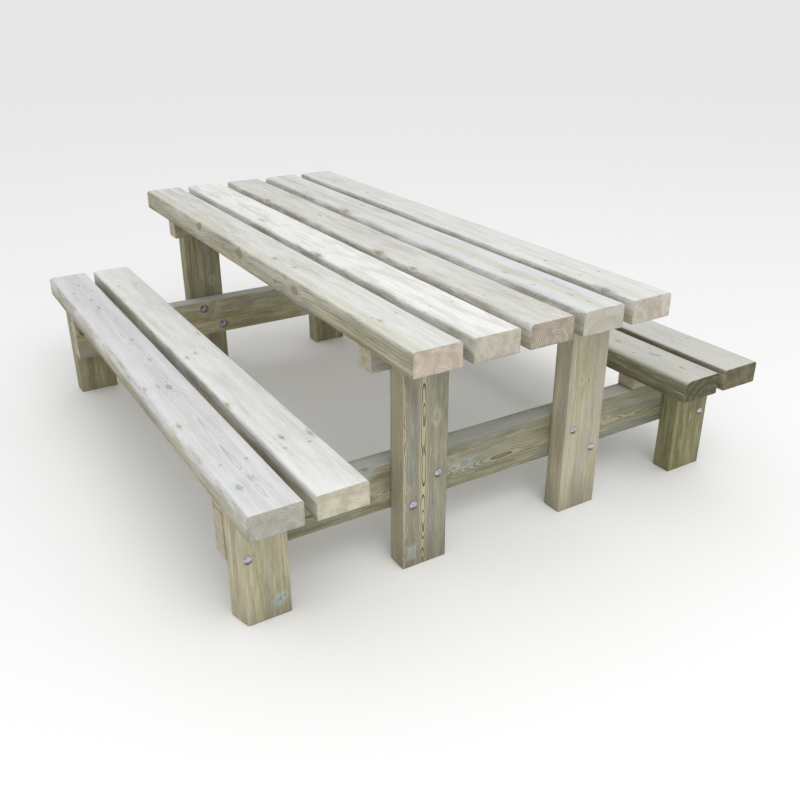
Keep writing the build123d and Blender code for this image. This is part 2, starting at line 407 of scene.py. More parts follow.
def bleached(net, timber, on, colour):
    """Whitens the upper faces, and the sides below them where the white has run down."""
    wood = timber.wood
    white = net.tint(wood.whitest, shade(214, 212, 200), on.band, 0.45, 0.7, 0.3)
    white = net.tint(white, shade(176, 178, 177), on.patch, 0.44, 0.74, wood.grey)
    tan = net.times(net.smooth(on.broad, 0.5, 0.68), net.smooth(on.fibre, 0.35, 0.7), wood.tan)
    white = net.mix(tan, white, shade(196, 184, 158))
    white = net.tint(white, shade(150, 150, 142), on.fine, 0.5, 0.75, 0.16)
    white = net.tint(white, shade(170, 168, 156), on.hair, 0.54, 0.7, 0.3)
    down_side = net.smooth(on.outward, -timber.thickness / 2, timber.thickness / 2)
    run_down = net.times(down_side, net.sum(0.55, net.smooth(on.patch, 0.62, 0.4)), wood.side_bleach)
    colour = net.mix(net.largest(net.times(on.up, wood.bleach), run_down), colour, white)
    if wood.stripe:
        middle, half, strength = wood.stripe
        offset = net.math("ABSOLUTE", net.minus(on.across, middle * MM))
        ragged = net.sum(offset, net.times(net.minus(on.band, 0.5), 1.6 * half * MM))
        colour = net.tint(colour, shade(196, 194, 150), ragged, half * MM, 0.0, strength)
    return colour


def ringed(net, timber, on, colour):
    """Growth rings, faint on the bleached face and strong in a strip of figure."""
    wood = timber.wood
    faded = net.times(net.sum(1.0, net.times(on.up, -0.5)), on.long_side)
    late = net.mix(on.up, wood.late, shade(132, 130, 122))
    light = net.mix(0.55, wood.pale, shade(226, 216, 180))
    plain = 1.0
    for figure in wood.figures:
        offset = net.math("ABSOLUTE", net.minus(on.across, figure.at))
        ragged = net.sum(offset, net.times(net.minus(on.band, 0.5), 0.5 * figure.width))
        strip = net.times(net.smooth(ragged, figure.width, 0.6 * figure.width), faded)
        tongue = growth_rings(net, timber, on.place, on.knots, figure)
        cream = net.times(strip, net.minus(1.0, on.up), figure.cream * figure.strength)
        colour = net.mix(cream, colour, light)
        colour = net.mix(net.times(strip, tongue, figure.strength), colour, late)
        plain = net.minus(plain, strip)
    return net.mix(net.times(on.line, wood.lines, faded, plain), colour, late)


def scuffed(net, timber, on, colour):
    """A pale scuff with ragged edges on the outer face."""
    middle_across, middle_along, half_across, half_along = (value * MM for value in timber.wood.scuff)
    aside = net.math("DIVIDE", net.math("ABSOLUTE", net.minus(on.across, middle_across)), half_across)
    beside = net.math("DIVIDE", net.math("ABSOLUTE", net.minus(on.along, middle_along)), half_along)
    reach = net.sum(net.largest(aside, beside), net.times(net.minus(on.speck, 0.5), 1.6))
    outer_face = net.smooth(on.outward, 0.0, timber.thickness / 2)
    return net.tint(colour, shade(196, 196, 194), reach, 1.15, 0.7, net.times(outer_face, 0.5))


def sawn_end(net, timber, on):
    """Colour of a sawn end: clouded, with the rings, saw marks and pores across it."""
    wood = timber.wood
    cloud = net.noise(on.seeded, 34.0, 4.0, 0.62)
    saw_marks = net.noise(net.vector("MULTIPLY", on.seeded, (1.0, 1.0, 0.12)), 330.0, 2.0, 0.6)
    darker = stained(wood.end, 0.64, 0.58, 0.52)
    ring_stain = stained(wood.end, 0.32, 0.23, 0.19)
    pore_stain = stained(wood.end, 0.3, 0.27, 0.25)
    colour = net.mix(wood.end_pale, wood.end, shade(236, 230, 214))
    colour = net.tint(colour, darker, cloud, 0.4, 0.64, wood.end_blotch)
    seen = net.sum(0.3, net.times(net.smooth(cloud, 0.62, 0.4), 0.7))
    colour = net.mix(net.times(on.line, seen, wood.end_lines), colour, ring_stain)
    colour = net.tint(colour, darker, saw_marks, 0.5, 0.7, 0.3)
    colour = net.tint(colour, pore_stain, on.pores, 0.48, 0.7, 0.42)
    border = net.largest(*(
        net.smooth(net.math("ABSOLUTE", distance), half - 7 * MM, half)
        for distance, half in ((on.across, timber.width / 2), (on.outward, timber.thickness / 2))
    ))
    return net.tint(colour, darker, cloud, 0.35, 0.6, net.times(border, 0.5))


def edge_masks(net, timber, on):
    """How near the point is to the low and the high long edge, the lower edge and the ends."""
    half_w, half_t, half_l = timber.width / 2, timber.thickness / 2, timber.length / 2
    near_top = net.smooth(on.outward, half_t - 20 * MM, half_t - 5 * MM)
    low_side = net.smooth(on.across, -half_w + 13 * MM, -half_w + 1 * MM)
    high_side = net.smooth(on.across, half_w - 13 * MM, half_w - 1 * MM)
    foot = net.smooth(on.outward, -half_t + 22 * MM, -half_t)
    tip = net.smooth(net.math("ABSOLUTE", on.along), half_l - 5 * MM, half_l - 0.5 * MM)
    return net.times(low_side, near_top), net.times(high_side, near_top), foot, tip


def soiled(net, timber, on, colour):
    """Mould on worn edges, dirt along lower edges and at the very ends, and the damp of a foot."""
    low_edge, high_edge, foot, tip = edge_masks(net, timber, on)
    specks = net.smooth(on.fleck, 0.5, 0.64)
    stretches = net.grain(on.seeded, 0.5, 9.0, 2.0, 0.5)
    for mask, strength in zip((low_edge, high_edge), timber.wood.mould):
        if strength:
            clumps = net.sum(0.2, net.smooth(stretches, 0.42, 0.62))
            amount = net.times(mask, net.sum(net.times(specks, 0.95), 0.12), clumps, strength)
            colour = net.mix(amount, colour, shade(100, 101, 92))
    dirt = net.times(foot, on.long_side, 0.4)
    colour = net.tint(colour, shade(98, 92, 66), on.patch, 0.42, 0.62, dirt)
    if timber.kind == "leg":
        damp = net.smooth(on.along, -timber.length / 2 + 170 * MM, -timber.length / 2)
        damp = net.times(damp, net.sum(0.35, net.smooth(on.broad, 0.4, 0.6)), 0.3)
        colour = net.mix(damp, colour, shade(88, 84, 58))
    return net.mix(net.times(tip, on.long_side, 0.35), colour, shade(120, 114, 98))


def knotted(net, on, colour):
    """Each knot's pale halo, smeared stain, core and dark rim."""
    for knot, outputs in on.knots:
        halo = shade(206, 200, 178) if knot.blue < 0.5 else shade(190, 204, 200)
        stain, core, rim = shade(134, 128, 110), shade(138, 128, 108), shade(74, 66, 54)
        if knot.blue:
            stain, core, rim = shade(138, 146, 144), shade(126, 150, 154), shade(58, 74, 80)
        colour = net.mix(net.times(outputs["Halo"], 0.3), colour, halo)
        colour = net.mix(net.times(outputs["Smear"], 0.65 * knot.dark), colour, stain)
        colour = net.mix(net.times(outputs["Core"], 0.6 * knot.dark), colour, core)
        colour = net.mix(net.times(outputs["Rim"], 0.9 * knot.dark), colour, rim)
    return colour


def wood_relief(net, on):
    """Raised late wood, fibres and knots, and the torn fibres of a sawn end."""
    relief = net.sum(net.times(on.line, 0.5), net.times(on.fine, 0.55), net.times(on.fibre, 0.5))
    relief = net.sum(relief, net.times(on.end_grain, on.pores, 0.6))
    for _, outputs in on.knots:
        bump = net.minus(outputs["Core"], net.times(outputs["Rim"], 1.4))
        relief = net.sum(relief, net.times(bump, 0.6))
    return relief


def new_material(name):
    """An empty material, and the Net that fills it."""
    material = bpy.data.materials.new(name)
    material.use_nodes = True
    material.node_tree.nodes.clear()
    return material, Net(material.node_tree)


def add_surface(net, colour, roughness, relief, strength, depth, fixed):
    """The shader, its bump and the output. fixed holds values that are the same all over."""
    bump = net.add("ShaderNodeBump", {"Strength": strength, "Distance": depth, "Height": relief})
    inputs = {"Base Color": colour, "Roughness": roughness, "Normal": bump.outputs[0]}
    shader = net.add("ShaderNodeBsdfPrincipled", {**inputs, **fixed})
    net.add("ShaderNodeOutputMaterial", {"Surface": shader.outputs[0]})


def wood_material(timber):
    material, net = new_material(timber.name + "_wood")
    on = Layers(net, timber)
    colour = weathered_side(net, timber.wood, on)
    colour = bleached(net, timber, on, colour)
    colour = ringed(net, timber, on, colour)
    if timber.wood.scuff:
        colour = scuffed(net, timber, on, colour)
    colour = net.mix(on.end_grain, colour, sawn_end(net, timber, on))
    colour = soiled(net, timber, on, colour)
    colour = knotted(net, on, colour)
    roughness = net.sum(0.68, net.times(on.fibre, 0.2), net.times(on.line, -0.08))
    matt = {"Specular IOR Level": 0.28}
    add_surface(net, colour, roughness, wood_relief(net, on), 0.75, 0.9 * MM, matt)
    return material


# ==== Meshes ====

def link_object(name, data):
    piece = bpy.data.objects.new(name, data)
    bpy.context.scene.collection.objects.link(piece)
    return piece


def new_object(name, mesh_builder):
    mesh = bpy.data.meshes.new(name)
    mesh_builder.to_mesh(mesh)
    mesh_builder.free()
    return link_object(name, mesh)


def circle(bm, place, height, segments, reach):
    """A ring of vertices round an axis, reach(turn) away from it. place(x, y, height) gives the
    point in the frame."""
    ring = []
    for k in range(segments):
        turn = 2 * math.pi * k / segments
        here = reach(turn)
        ring.append(bm.verts.new(place(here * math.cos(turn), here * math.sin(turn), height)))
    return ring


def skin(bm, rings):
    """Joins each ring of vertices to the next with faces. A ring may be a single vertex."""
    for first, second in zip(rings, rings[1:]):
        count = max(len(first), len(second))
        for k in range(count):
            after = (k + 1) % count
            corners = [first[k % len(first)], first[after % len(first)]]
            corners += [second[after % len(second)], second[k % len(second)]]
            bm.faces.new(list(dict.fromkeys(corners)))


def lathe(bm, outline, place, segments=ROUND_SEGMENTS):
    """Turns an outline of (radius, height) points about an axis, and returns its rings. A radius
    may be a function of the turn, where the shape isn't round."""
    rings = []
    for radius, height in outline:
        if radius == 0:
            rings.append([bm.verts.new(place(0, 0, height))])
        elif callable(radius):
            rings.append(circle(bm, place, height, segments, radius))
        else:
            rings.append(circle(bm, place, height, segments, lambda turn: radius))
    skin(bm, rings)
    return rings


def shift_noise(point, rate, seed):
    """Smooth noise from 0 to 1, the same in every run."""
    return 0.5 + 0.5 * noise.noise(Vector(point) * rate + Vector((seed, -seed, 2.3 * seed)))


class Timber:
    """One length of timber: its box, its directions and its cross-sections."""

    def __init__(self, name, kind, wood, seed):
        self.name = name
        self.kind = kind
        self.wood = wood
        self.seed = seed
        self.low, self.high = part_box(name)
        self.centre = (self.low + self.high) / 2
        size = self.high - self.low
        rear = 1 if self.centre.y > 0 else -1
        self.axes, self.facing = {
            "board": ((0, 1, 2), 1),
            "leg": ((0, 2, 1), rear),
            "rail": ((2, 0, 1), rear),
        }[kind]
        self.width, self.length, self.thickness = (size[axis] for axis in self.axes)

    def place(self, across, along, outward):
        point = Vector(self.centre)
        for axis, value in zip(self.axes, (across, along, outward * self.facing)):
            point[axis] += value
        return point

    def corner_radius(self, corner, along):
        base = self.wood.rounds[corner] * MM
        wane = self.wood.wane[corner] * MM
        long_wave = shift_noise((along, corner, 0), 5.0, self.seed)
        short_wave = shift_noise((along, corner, 5), 26.0, self.seed)
        chip = shift_noise((along, corner, 9), 60.0, self.seed)
        inboard = min(1.0, (self.length / 2 - abs(along)) / WANE_FADE)
        wane *= 0.2 + 0.8 * inboard
        return base + wane * (1.6 * long_wave**2 + 0.45 * short_wave + 0.25 * chip)

    def section(self, along, inset):
        """Points round the cross-section at one place along the timber: four arcs, and the flats
        between them."""
        half_w, half_t = self.width / 2 - inset, self.thickness / 2 - inset
        arcs = []
        for corner, (sign_w, sign_t) in enumerate(((1, 1), (-1, 1), (-1, -1), (1, -1))):
            radius = self.corner_radius(corner, along)
            centre_w, centre_t = sign_w * (half_w - radius), sign_t * (half_t - radius)
            arc = []
            for k in range(CORNER_STEPS + 1):
                turn = (corner + k / CORNER_STEPS) * math.pi / 2
                arc.append((centre_w + radius * math.cos(turn), centre_t + radius * math.sin(turn)))
            arcs.append(arc)
        points = []
        for corner, arc in enumerate(arcs):
            last, target = arc[-1], arcs[(corner + 1) % 4][0]
            flat = self.width if corner in (0, 2) else self.thickness
            count = max(2, round(flat / STEP_AROUND))
            points += arc
            for k in range(1, count):
                points.append([a + (b - a) * k / count for a, b in zip(last, target)])
        return [(self.leaned(w, t), t) for w, t in points]

    def leaned(self, w, t):
        """The place across of a point when the low side leans in towards the outward face."""
        outward = 0.5 + t / self.thickness
        low_side = max(0.0, -w / (self.width / 2))
        return w + self.wood.slant * MM * outward * low_side

    def worn(self, w, t, along):
        """A point moved inwards a little, by planing waves and torn fibres."""
        wave = shift_noise((w, along, t), 9.0, self.seed)
        tear = shift_noise((w * 3, along * 0.6, t * 3), 60.0, self.seed)
        depth = PLANING_WAVE * wave + TORN_FIBRES * tear
        scale_w = 1 - depth / (self.width / 2)
        scale_t = 1 - depth / (self.thickness / 2)
        return self.place(w * scale_w, along, t * scale_t)

    def stations(self):
        """Places along the timber and how far the section is drawn in at each."""
        half = self.length / 2
        ends = []
        for k in range(END_STEPS + 1):
            turn = k / END_STEPS * math.pi / 2
            ends.append((half - END_ROUND * (1 - math.sin(turn)), END_ROUND * (1 - math.cos(turn))))
        ends.sort()
        inner = half - END_ROUND
        count = max(8, round(2 * inner / STEP_ALONG))
        middle = [(-inner + 2 * inner * k / count, 0.0) for k in range(1, count)]
        return [(-along, inset) for along, inset in reversed(ends)] + middle + ends

    def mesh(self):
        bm = bmesh.new()
        rings = [
            [bm.verts.new(self.worn(w, t, along)) for w, t in self.section(along, inset)]
            for along, inset in self.stations()
        ]
        skin(bm, rings)
        for end, ring in ((-1, rings[0]), (1, rings[-1])):
            self.cap(bm, ring, end)
        bmesh.ops.recalc_face_normals(bm, faces=bm.faces)
        return bm

    def cap(self, bm, ring, end):
        """Closes one end with rings of faces, left slightly rough by the saw."""
        middle = self.place(0, end * self.length / 2, 0)
        rings = [ring]
        for scale in CAP_RINGS:
            inner = []
            for vertex in ring:
                point = middle.lerp(vertex.co, scale)
                rough = shift_noise(point, 55.0, self.seed + end)
                point[self.axes[1]] -= end * SAW_DEPTH * rough
                inner.append(bm.verts.new(point))
            rings.append(inner)
        skin(bm, rings)
        bm.faces.new(rings[-1])


# ==== Holes ====

def fastener_boxes(node, plane):
    """(low, high) of each separate fastener in a node, told apart in the two axes of a plane."""
    found = []
    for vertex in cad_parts[node].data.vertices:
        here = vertex.co
        for low, high in found:
            if all(low[axis] - 20 * MM < here[axis] < high[axis] + 20 * MM for axis in plane):
                for axis in range(3):
                    low[axis] = min(low[axis], here[axis])
                    high[axis] = max(high[axis], here[axis])
                break
        else:
            found.append((Vector(here), Vector(here)))
    return found


def vertical(centre, top):
    """Places a turned shape whose height 0 is at the top of a screw."""
    return lambda x, y, height: Vector((centre.x + x, centre.y + y, top + height))


def endways(centre, face, end):
    """Places a turned shape whose height 0 is on a leg's outer face and points out of it."""
    return lambda x, y, height: Vector((centre.x + x, face + end * height, centre.z + y))


def screw_cutter(bm, low, high, surface):
    gap = SCREW_CLEARANCE
    length = high.z - low.z
    outline = [
        (0, surface - high.z + 2 * MM),
        (SCREW_HEAD_RADIUS + gap, surface - high.z + 2 * MM),
        (SCREW_HEAD_RADIUS + gap, -SCREW_RIM),
        (SCREW_RADIUS + gap, -SCREW_RIM - SCREW_CONE),
        (SCREW_RADIUS + gap, -length + SCREW_TIP),
        (0, -length - gap),
    ]
    lathe(bm, outline, vertical((low + high) / 2, high.z))


def bolt_cutter(bm, low, high, end):
    """The neck pocket, the bolt's hole and the nut recess, in one turned shape."""
    depth = high.y - low.y - HEAD_HEIGHT
    face = (high.y - HEAD_HEIGHT) if end > 0 else (low.y + HEAD_HEIGHT)
    outline = [
        (0, 2 * MM),
        (NECK_POCKET_RADIUS, 2 * MM),
        (NECK_POCKET_RADIUS, -NECK_DEPTH),
        (BOLT_HOLE_RADIUS, -NECK_DEPTH - 0.4 * MM),
        (BOLT_HOLE_RADIUS, -depth + RECESS_DEPTH),
        (RECESS_RADIUS, -depth + RECESS_DEPTH),
        (RECESS_RADIUS, -depth - 2 * MM),
        (0, -depth - 2 * MM),
    ]
    lathe(bm, outline, endways((low + high) / 2, face, end))


def meets(box, timber):
    low, high = box
    return all(low[k] < timber.high[k] and high[k] > timber.low[k] for k in range(3))


def cut_holes(piece, timber):
    """Cuts the screw and bolt holes that pass through this timber."""
    bm = bmesh.new()
    for end_name, end in (("front", -1), ("rear", 1)):
        surfaces = {"tabletop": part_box("table_board_1")[1].z, "seat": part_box("left_seat_board_inner")[1].z}
        for kind, surface in surfaces.items():
            for low, high in SCREWS[f"{end_name}_{kind}_screws"]:
                if meets((low, high), timber):
                    screw_cutter(bm, low, high, surface)
        for low, high in BOLTS[f"{end_name}_frame_bolts"]:
            if meets((low, high), timber):
                bolt_cutter(bm, low, high, end)
    if not bm.verts:
        bm.free()
        return
    bmesh.ops.recalc_face_normals(bm, faces=bm.faces)
    cutter = new_object("cutter", bm)
    modifier = piece.modifiers.new("holes", "BOOLEAN")
    modifier.operation = "DIFFERENCE"
    modifier.solver = "EXACT"
    modifier.object = cutter
    graph = bpy.context.evaluated_depsgraph_get()
    cut = bpy.data.meshes.new_from_object(piece.evaluated_get(graph))
    piece.modifiers.clear()
    piece.data = cut
    bpy.data.objects.remove(cutter)


def finish_piece(piece, node, material, sharp_angle):
    piece.data.materials.clear()
    piece.data.materials.append(material)
    for face in piece.data.polygons:
        face.use_smooth = True
    piece.data.set_sharp_from_angle(angle=math.radians(sharp_angle))
    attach(piece, "root")
    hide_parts(node)


def build_timber(name, kind, wood, seed):
    timber = Timber(name, kind, wood, seed)
    piece = new_object(name + "_timber", timber.mesh())
    cut_holes(piece, timber)
    finish_piece(piece, name, wood_material(timber), TIMBER_SHARP_ANGLE)


# ==== Fasteners ====

def zinc_material(name, tint, shadow, dull, metal):
    """Zinc plate, clouded and grained, with painted shade on what faces down, standing in for a dark
    reflection of the ground below it.
    """
    material, net = new_material(name)
    position = net.add("ShaderNodeTexCoord").outputs["Object"]
    cloud = net.noise(position, 160.0, 3.0, 0.6)
    grain = net.noise(position, 1500.0, 3.0, 0.6)
    colour = net.tint(tint, shadow, cloud, 0.38, 0.62)
    colour = net.tint(colour, shade(100, 98, 104), grain, 0.55, 0.75, 0.4)
    height = net.parts(net.add("ShaderNodeNewGeometry").outputs["Normal"])[2]
    # Painted shade: faces that point down are darkened, in place of a dark reflection from below, and made
    # rougher.
    painted_shade_below = net.smooth(net.sum(height, net.times(net.minus(cloud, 0.5), 0.3)), 0.12, -0.42)
    colour = net.mix(net.times(painted_shade_below, 0.85), colour, shade(70, 66, 68))
    roughness = net.sum(dull, net.times(cloud, 0.16), net.times(painted_shade_below, 0.25))
    add_surface(net, colour, roughness, grain, 0.3, 0.1 * MM, {"Metallic": metal})
    return material


def threaded(bm, place, start, length, radius, pitch, depth):
    """A rod with a helical ridge, from start down to start - length."""
    rows = max(8, round(length / pitch * 6))
    rings = []
    for row in range(rows + 1):
        height = start - length * row / rows
        fade = min(1.0, row / 6, (rows - row) / 4)

        def ridged(turn):
            phase = (height / pitch + turn / (2 * math.pi)) % 1.0
            return radius - depth * (1 - abs(2 * phase - 1)) * fade

        rings.append(circle(bm, place, height, ROUND_SEGMENTS // 2, ridged))
    skin(bm, rings)
    bm.faces.new(rings[0])
    bm.faces.new(rings[-1])


def bolt_mesh(bm, box, end):
    """Cup-head bolt: a low dome, a square neck, a plain shank and a thread."""
    low, high = box
    face = (high.y - HEAD_HEIGHT) if end > 0 else (low.y + HEAD_HEIGHT)
    place = endways((low + high) / 2, face, end)
    dome_height = HEAD_HEIGHT - HEAD_RIM
    dome_radius = (HEAD_RADIUS**2 + dome_height**2) / (2 * dome_height)
    outline = [(0, HEAD_HEIGHT)]
    for k in range(1, DOME_STEPS + 1):
        radius = HEAD_RADIUS * k / DOME_STEPS
        drop = dome_radius - math.sqrt(dome_radius**2 - radius**2)
        outline.append((radius, HEAD_HEIGHT - drop))
    outline += [(HEAD_RADIUS, HEAD_BEVEL), (HEAD_RADIUS - HEAD_BEVEL, 0), (0, 0)]
    lathe(bm, outline, place)
    half = NECK_SIZE / 2
    corners = [(-half, -half), (half, -half), (half, half), (-half, half)]
    neck = [
        [bm.verts.new(place(x * scale, y * scale, height)) for x, y in corners]
        for scale, height in ((1, 0), (NECK_TAPER, -NECK_DEPTH))
    ]
    skin(bm, neck)
    for ring in neck:
        bm.faces.new(ring)
    plain = high.y - low.y - HEAD_HEIGHT - THREAD_LENGTH
    lathe(bm, [(0, -NECK_DEPTH), (BOLT_RADIUS, -NECK_DEPTH), (BOLT_RADIUS, -plain), (0, -plain)], place)
    threaded(bm, place, -plain, THREAD_LENGTH, BOLT_RADIUS, THREAD_PITCH, THREAD_DEPTH)


def washer_mesh(bm, box, end):
    low, high = box
    centre = (low + high) / 2
    radius = (high.x - low.x) / 2
    half = (high.y - low.y) / 2
    cut = WASHER_CHAMFER
    outline = [
        (BORE_RADIUS, -half), (radius - cut, -half), (radius, -half + cut), (radius, half - cut),
        (radius - cut, half), (BORE_RADIUS, half), (BORE_RADIUS, -half),
    ]
    lathe(bm, outline, endways(centre, centre.y, end))


def nut_mesh(bm, box, end):
    """Hexagon nut whose corners are turned down on both faces, round a plain bore."""
    low, high = box
    centre = (low + high) / 2
    flats = min(high.x - low.x, high.z - low.z) / 2
    half = (high.y - low.y) / 2
    turn_to_box = 0 if high.x - low.x > high.z - low.z else math.pi / 6

    def hexagon(turn):
        return flats / math.cos((turn - turn_to_box) % (math.pi / 3) - math.pi / 6)

    outline = [
        (BORE_RADIUS, -half), (flats, -half), (hexagon, -half + NUT_CHAMFER), (hexagon, half - NUT_CHAMFER),
        (flats, half), (BORE_RADIUS, half), (BORE_RADIUS, -half),
    ]
    rings = lathe(bm, outline, endways(centre, centre.y, end), NUT_SEGMENTS)
    bmesh.ops.remove_doubles(bm, verts=rings[0] + rings[-1], dist=0.01 * MM)


def screw_mesh(bm, box, end):
    """Countersunk screw with a lobed socket in its head, a coarse thread and a pointed tip."""
    low, high = box
    place = vertical((low + high) / 2, high.z)
    shank_top = -SCREW_RIM - SCREW_CONE
    tip_top = low.z - high.z + SCREW_TIP

    def lobed(turn):
        return SOCKET_RADIUS * (1 + LOBE_HEIGHT * math.cos(SOCKET_LOBES * turn))

    head = [
        (0, -SOCKET_DEPTH), (0.5 * SOCKET_RADIUS, -SOCKET_DEPTH), (lobed, -SOCKET_DEPTH), (lobed, 0),
        (SCREW_HEAD_RADIUS - HEAD_BEVEL, 0), (SCREW_HEAD_RADIUS, -HEAD_BEVEL),
        (SCREW_HEAD_RADIUS, -SCREW_RIM), (SCREW_RADIUS, shank_top), (0, shank_top),
    ]
    lathe(bm, head, place, NUT_SEGMENTS)
    thread = (SCREW_RADIUS, SCREW_THREAD_PITCH, SCREW_THREAD_DEPTH)
    threaded(bm, place, shank_top, shank_top - tip_top, *thread)
    lathe(bm, [(0, tip_top), (SCREW_RADIUS, tip_top), (0, low.z - high.z)], place, ROUND_SEGMENTS // 2)


FASTENER_MESHES = {
    "bolts": bolt_mesh,
    "washers": washer_mesh,
    "nuts": nut_mesh,
    "screws": screw_mesh,
}


def build_fasteners(node, plane, material):
    end = -1 if node.startswith("front") else 1
    make = FASTENER_MESHES[node.rsplit("_", 1)[1]]
    bm = bmesh.new()
    for box in fastener_boxes(node, plane):
        make(bm, box, end)
    bmesh.ops.recalc_face_normals(bm, faces=bm.faces)
    piece = new_object(node + "_detailed", bm)
    finish_piece(piece, node, material, ROUND_SHARP_ANGLE)


# ==== The timbers of this table ====

TABLE_WOODS = [
    Wood(
        pith=(4, -42), ring=5.6, wander=2.6, end=(199, 186, 170), end_lines=0.65, grey=0.55,
        tan=0.7, whitest=(229, 230, 228), mould=(1.1, 0.2), rounds=(8, 10, 3, 3),
        wane=(1, 9, 1, 1), side_bleach=0.26,
        stripe=(-50, 24, 0.3), figures=(Figure(-18, 40, 0.4, (-16, -40), 3.6, 3.4, 2.6),),
        knots=(
            Knot(-72, 416, 11, down=14, dark=0.95), Knot(-72, 34, 13, down=22, dark=1.0),
            Knot(-72, -391, 11, down=30, dark=0.9), Knot(-72, -254, 6, down=40, dark=0.9),
            Knot(-25, -154, 6, dark=0.5), Knot(-13, -274, 5, dark=0.45), Knot(-20, 218, 5, dark=0.35),
            Knot(-28, -812, 4, dark=0.5), Knot(-72, 534, 4, down=45, dark=0.7),
        ),
    ),
    Wood(
        pith=(30, -190), ring=5.5, wander=1.6, lines=0.16, end=(184, 179, 166), end_lines=0.12,
        end_blotch=0.45, grey=0.34, tan=0.12, whitest=(240, 240, 238), mould=(0.4, 0.1),
        wane=(1, 2.5, 1, 1), side_bleach=0.9,
        knots=(Knot(-41, 324, 6, dark=0.45), Knot(-67, -183, 7, dark=0.8, blue=0.8)),
    ),
    Wood(
        pith=(17, -27), ring=7.0, wander=2.4, lines=0.34, end=(168, 157, 143), end_lines=0.75,
        grey=0.55, tan=0.7, whitest=(222, 222, 218), mould=(0.8, 0.2), rounds=(8, 11, 3, 3),
        wane=(1, 4, 1, 1), side_bleach=0.7, figures=(Figure(12, 36, 0.42, (14, -50), 3.8, 3.6, 2.4),),
        knots=(
            Knot(-68, 625, 6, dark=0.7), Knot(-66, -260, 9, dark=0.7), Knot(-67, -465, 6, dark=0.6),
            Knot(-4, 284, 5, dark=0.4), Knot(61, 209, 5, dark=0.4),
        ),
    ),
    Wood(
        pith=(10, -68), ring=82.0, wander=2.2, lines=0.2, end=(180, 179, 166), end_lines=0.3,
        end_blotch=0.25, grey=0.5, tan=0.1, whitest=(226, 228, 230), mould=(1.7, 0.1),
        rounds=(8, 22, 3, 3),
        wane=(1, 5, 1, 1), side_bleach=0.6, figures=(Figure(10, 40, 0.35, (10, -60), 4.4, 3.4, 2.4),),
        stripe=(-6, 22, 0.45),
        knots=(
            Knot(-60, 306, 9, dark=0.6), Knot(36, 346, 5, dark=0.5), Knot(-3, -906, 4, dark=0.5),
            Knot(-1, -977, 4, dark=0.4), Knot(-32, -646, 5, dark=0.3),
        ),
    ),
    Wood(
        pith=(-30, -150), ring=5.0, wander=1.8, lines=0.24, end=(194, 189, 177), end_lines=0.2,
        grey=0.34, tan=0.16, whitest=(231, 232, 229), mould=(0.5, 0.1), rounds=(8, 11, 3, 3),
        wane=(1, 2.5, 1, 1), side_bleach=0.5,
        knots=(
            Knot(-64, -921, 8, dark=0.8, blue=0.9), Knot(-26, -615, 4, dark=0.6),
            Knot(-17, 527, 4, dark=0.6),
        ),
    ),
]

LEFT_OUTER_WOOD = Wood(
    pith=(2, -46), ring=4.4, wander=2.0, rate=2.0, lines=0.2, end=(170, 170, 161),
    end_lines=0.5, end_blotch=0.5, grey=0.3, tan=0.08, whitest=(229, 230, 233),
    mould=(0.5, 0.1), rounds=(8, 9, 3, 3), wane=(1, 12, 1, 1), side_bleach=0.6,
    figures=(Figure(6, 36, 0.85, (6, 6), 2.4, 5.0, 1.9),),
    knots=(
        Knot(9, 568, 5, blue=0.8, dark=0.6), Knot(20, 182, 4, blue=0.8, dark=0.6),
        Knot(20, -21, 4, blue=0.8, dark=0.6), Knot(5, -258, 8, blue=0.9, dark=0.6),
        Knot(-22, -238, 5, dark=0.3), Knot(-53, -523, 5, dark=0.5), Knot(-63, -237, 5, dark=0.4),
        Knot(6, -878, 6, dark=0.2), Knot(-35, -907, 6, blue=0.6, dark=0.5),
    ),
)

LEFT_INNER_WOOD = Wood(
    pith=(-20, -140), ring=5.2, wander=1.8, lines=0.18, end=(200, 198, 177), end_lines=0.3,
    grey=0.3, tan=0.2, whitest=(243, 244, 243), mould=(0.35, 0.1), wane=(1, 2.5, 1, 1),
    side_bleach=0.5,
    knots=(
        Knot(-13, -44, 4, dark=0.4), Knot(-48, -68, 4, dark=0.4), Knot(-18, -725, 5, dark=0.6),
        Knot(58, -742, 6, dark=0.5, blue=0.6), Knot(-66, -460, 5, dark=0.6), Knot(55, 119, 4, dark=0.3),
    ),
)

# Its dark pale, deep, cool and end colours are partly darker, wetter wood and partly painted shade of the
# table top that overhangs this bench.
RIGHT_INNER_WOOD_AND_SHADE = Wood(
    pith=(30, -62), ring=26.0, wander=2.4, lines=0.25, end=(101, 100, 76), end_lines=1.0,
    end_pale=0.02, end_blotch=0.9,
    grey=0.6, tan=0.2, whitest=(212, 212, 206), mould=(1.0, 0.3), rounds=(8, 26, 3, 3),
    wane=(1, 8, 1, 1), side_bleach=0.0, pale=(130, 129, 104), deep=(96, 95, 72), cool=(114, 117, 106),
    knots=(
        Knot(8, -823, 6, blue=0.7), Knot(16, -838, 5, blue=0.7), Knot(-4, -681, 5),
        Knot(5, -950, 5, dark=0.5),
    ),
)

# Its dark pale, deep, cool and end colours are partly darker, wetter wood and partly painted shade of the
# table top that overhangs this bench.
RIGHT_OUTER_WOOD_AND_SHADE = Wood(
    pith=(-6, -95), ring=4.4, wander=2.0, lines=0.2, end=(116, 113, 88), end_lines=0.7,
    end_pale=0.02, end_blotch=0.9,
    grey=0.4, tan=0.15, whitest=(214, 214, 209), mould=(0.6, 0.2), wane=(1, 4, 1, 1),
    side_bleach=0.1,
    pale=(150, 147, 120), deep=(112, 108, 82), cool=(128, 130, 116),
)

